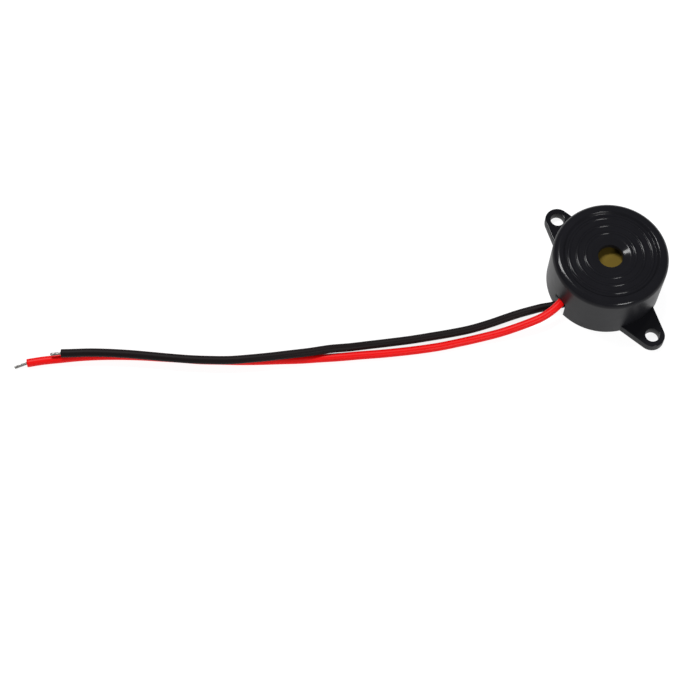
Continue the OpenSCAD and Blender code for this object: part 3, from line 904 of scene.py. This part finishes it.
class BUZZER_OT_sounder(bpy.types.Operator):
    """Finish the sounder disc: brass plate, ceramic, electrodes, adhesive and solder dots"""

    bl_idname = "buzzer.sounder"
    bl_label = "Sounder"

    def execute(self, context):
        finish = context.scene.buzzer_finishes
        # Annealed brass is matt, with fine lines along the strip, drawn coarser here so that they show
        # Its colour is a darker olive than bare brass: painted shade for the dim chamber behind the port
        brass = grained_metal("Rolled brass", finish.brass, grain=0.12, stretch=30, rough=(0.6, 0.75))
        finish_node("diaphragm_plate", brass)
        # Fired ceramic is matt and faintly speckled
        ceramic = speckled_solid(
            "Fired piezo ceramic", finish.ceramic, grain=0.2, spread=0.06, rough=(0.55, 0.75), ior=1.6
        )
        finish_node("piezo_ceramic", ceramic)
        # Screen-printed silver keeps the mesh's fine texture
        silver = grained_metal(
            "Screen-printed silver", finish.silver, grain=0.15, stretch=1, rough=(0.4, 0.6)
        )
        finish_node("main_electrode", silver)
        finish_node("feedback_electrode", silver)
        # Cured silicone has a soft satin skin
        silicone = speckled_solid(
            "Cured silicone", finish.silicone, grain=0.6, spread=0.05, rough=(0.4, 0.55), ior=1.41
        )
        finish_node("disc_adhesive", silicone)
        # Solder that set by itself is bright, with a finely frosted skin
        dots = grained_metal("Solidified solder", finish.solder, grain=0.1, stretch=1, rough=(0.2, 0.4))
        finish_node("disc_solder_dots", dots)
        return {"FINISHED"}


class BUZZER_OT_drive_board(bpy.types.Operator):
    """Finish the drive board, its components, wires and solder"""

    bl_idname = "buzzer.drive_board"
    bl_label = "Drive board"

    def execute(self, context):
        finish = context.scene.buzzer_finishes
        # Green solder mask over woven glass: the weave shows through at about 0.5 mm
        laminate = speckled_solid(
            "Masked glass-epoxy laminate", finish.mask, grain=0.5, spread=0.2, rough=(0.25, 0.4), ior=1.55
        )
        finish_node("circuit_board", laminate)
        # Moulding compound is a dull charcoal, grained by its filler
        compound = speckled_solid(
            "Transfer-moulded compound", finish.compound, grain=0.1, spread=0.2, rough=(0.5, 0.7), ior=1.55
        )
        finish_node("transistor", compound)
        # The glaze over a chip resistor is dark and glassy
        glaze = speckled_solid(
            "Glazed chip resistor", finish.chip, grain=0.15, spread=0.15, rough=(0.2, 0.35), ior=1.52
        )
        for name in ("base_resistor", "feedback_resistor", "load_resistor"):
            finish_node(name, glaze)
        # Reflowed solder flows out bright and smooth
        solder = grained_metal("Reflowed solder", finish.solder, grain=0.1, stretch=1, rough=(0.2, 0.4))
        finish_node("board_pads", solder)
        finish_node("board_solder_joints", solder)
        # Drawn wire shows fine lines from the die under its tin
        wire = grained_metal("Drawn tinned wire", finish.tin, grain=0.08, stretch=8, rough=(0.25, 0.4))
        for name in (
            "plate_jumper", "drive_jumper", "feedback_jumper", "red_conductor_root", "black_conductor_root",
        ):
            finish_node(name, wire)
        return {"FINISHED"}


class BUZZER_OT_potting(bpy.types.Operator):
    """Make the poured epoxy that seals the open back"""

    bl_idname = "buzzer.potting"
    bl_label = "Potting"

    def execute(self, context):
        finish = context.scene.buzzer_finishes
        # Poured epoxy sets with a satin skin and faint clouds of filler
        epoxy = speckled_solid(
            "Poured black epoxy", finish.potting, grain=1.2, spread=0.25, rough=(0.28, 0.45), ior=1.55
        )
        pour = potting_pour(POTTING_HIGH.x / MM, POTTING_LOW.z / MM, POTTING_HIGH.z / MM, epoxy)
        ride(pour, "potting_epoxy", "potting")
        return {"FINISHED"}


class BUZZER_OT_stage(bpy.types.Operator):
    """Lay the pale floor and set the soft studio light"""

    bl_idname = "buzzer.stage"
    bl_label = "Stage"

    def execute(self, context):
        studio = context.scene.buzzer_studio
        half = 3000
        corners = [(-half, -half, 0), (half, -half, 0), (half, half, 0), (-half, half, 0)]
        floor = make_object("studio_floor", corners, [(0, 1, 2, 3)], lit_floor(studio))
        # A hair below the foot, so that the two never share one plane
        floor.location.z = -0.02 * MM
        face = Vector((0, 0, HOUSING_HIGH.z))
        soft_light(
            "front_light", studio.front, face, direction=(0.362, -0.7, 0.615), along=(0.897, 0.442, 0),
            distance=0.8, width=0.24, depth=0.14,
        )
        soft_light(
            "back_light", studio.back, face, direction=(-0.277, 0.339, 0.899), along=(0.386, 0.103, 0.102),
            distance=0.7, width=0.35, depth=0.1,
        )
        world = bpy.data.worlds.new("dim_room")
        world.use_nodes = True
        tree = world.node_tree
        tree.nodes.clear()
        sky = add(tree, "ShaderNodeBackground", {"Color": rgba(studio.room), "Strength": 1.0})
        add(tree, "ShaderNodeOutputWorld", {"Surface": sky.outputs["Background"]})
        context.scene.world = world
        context.scene.view_settings.view_transform = "Standard"
        return {"FINISHED"}


class BUZZER_PT_panel(bpy.types.Panel):
    """Lists the buzzer's pieces and sizes"""

    bl_idname = "BUZZER_PT_panel"
    bl_label = "Piezo buzzer"
    bl_space_type = "VIEW_3D"
    bl_region_type = "UI"
    bl_category = "Buzzer"

    def draw(self, context):
        for operator in OPERATORS:
            self.layout.operator(operator.bl_idname)
        for name in GROUPS:
            box = self.layout.box()
            group = getattr(context.scene, name)
            for prop in group.bl_rna.properties:
                if prop.identifier not in ("rna_type", "name"):
                    box.prop(group, prop.identifier)


GROUPS = {
    "buzzer_housing": BuzzerHousingSizes,
    "buzzer_leads": BuzzerLeadSizes,
    "buzzer_finishes": BuzzerFinishes,
    "buzzer_studio": BuzzerStudio,
}
OPERATORS = (
    BUZZER_OT_camera, BUZZER_OT_leads, BUZZER_OT_housing, BUZZER_OT_sounder, BUZZER_OT_drive_board,
    BUZZER_OT_potting, BUZZER_OT_stage,
)


def register():
    for name, group in GROUPS.items():
        bpy.utils.register_class(group)
        setattr(bpy.types.Scene, name, PointerProperty(type=group))
    for operator in OPERATORS:
        bpy.utils.register_class(operator)
    bpy.utils.register_class(BUZZER_PT_panel)


def unregister():
    bpy.utils.unregister_class(BUZZER_PT_panel)
    for operator in reversed(OPERATORS):
        bpy.utils.unregister_class(operator)
    for name, group in reversed(GROUPS.items()):
        delattr(bpy.types.Scene, name)
        bpy.utils.unregister_class(group)


def main():
    register()
    bpy.ops.buzzer.camera()
    bpy.ops.buzzer.leads()
    bpy.ops.buzzer.housing()
    bpy.ops.buzzer.sounder()
    bpy.ops.buzzer.drive_board()
    bpy.ops.buzzer.potting()
    bpy.ops.buzzer.stage()


if __name__ == "__main__":
    main()
